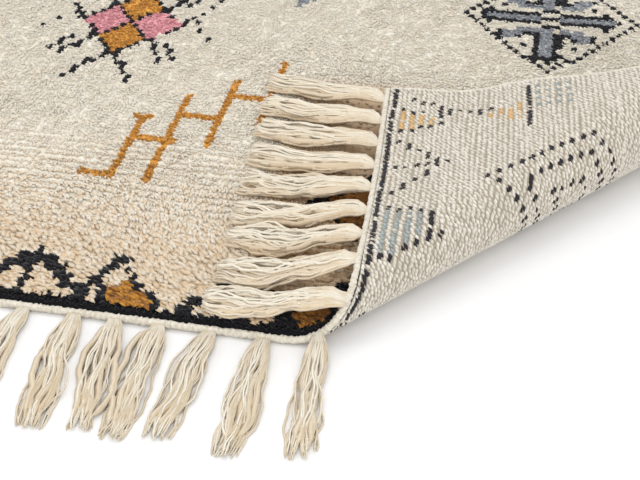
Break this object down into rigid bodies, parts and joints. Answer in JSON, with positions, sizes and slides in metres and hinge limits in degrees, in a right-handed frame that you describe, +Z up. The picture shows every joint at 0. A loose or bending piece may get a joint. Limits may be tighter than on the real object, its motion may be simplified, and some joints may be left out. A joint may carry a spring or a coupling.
{
  "type": "moroccan rug with a turned-over corner",
  "caption": "Hand-knotted wool pile rug lying on a floor, one front corner rolled over to show its woven back, with a cord and cotton tassels along both ends.",
  "frame": {"origin": "on the underside, at the middle of the rug as if it lay flat", "axes": "+X along the fringed ends, +Y from the front end to the back end, +Z up from the floor"},
  "size_m": [1.2, 1.9791, 0.0835],
  "materials": {
    "wool_pile": "matte cream wool pile with charcoal, ochre, pink and blue-grey motifs",
    "woven_back": "flat woven back of the knots, cream with the motifs in dots",
    "cotton_fringe": "undyed two-ply cotton yarn, hitched in tassels round a rolled cord"
  },
  "bodies": {
    "root": {"rug_body": "wool_pile", "fringe_front": "cotton_fringe", "fringe_turned": "cotton_fringe", "fringe_back": "cotton_fringe"}
  },
  "joints": []
}
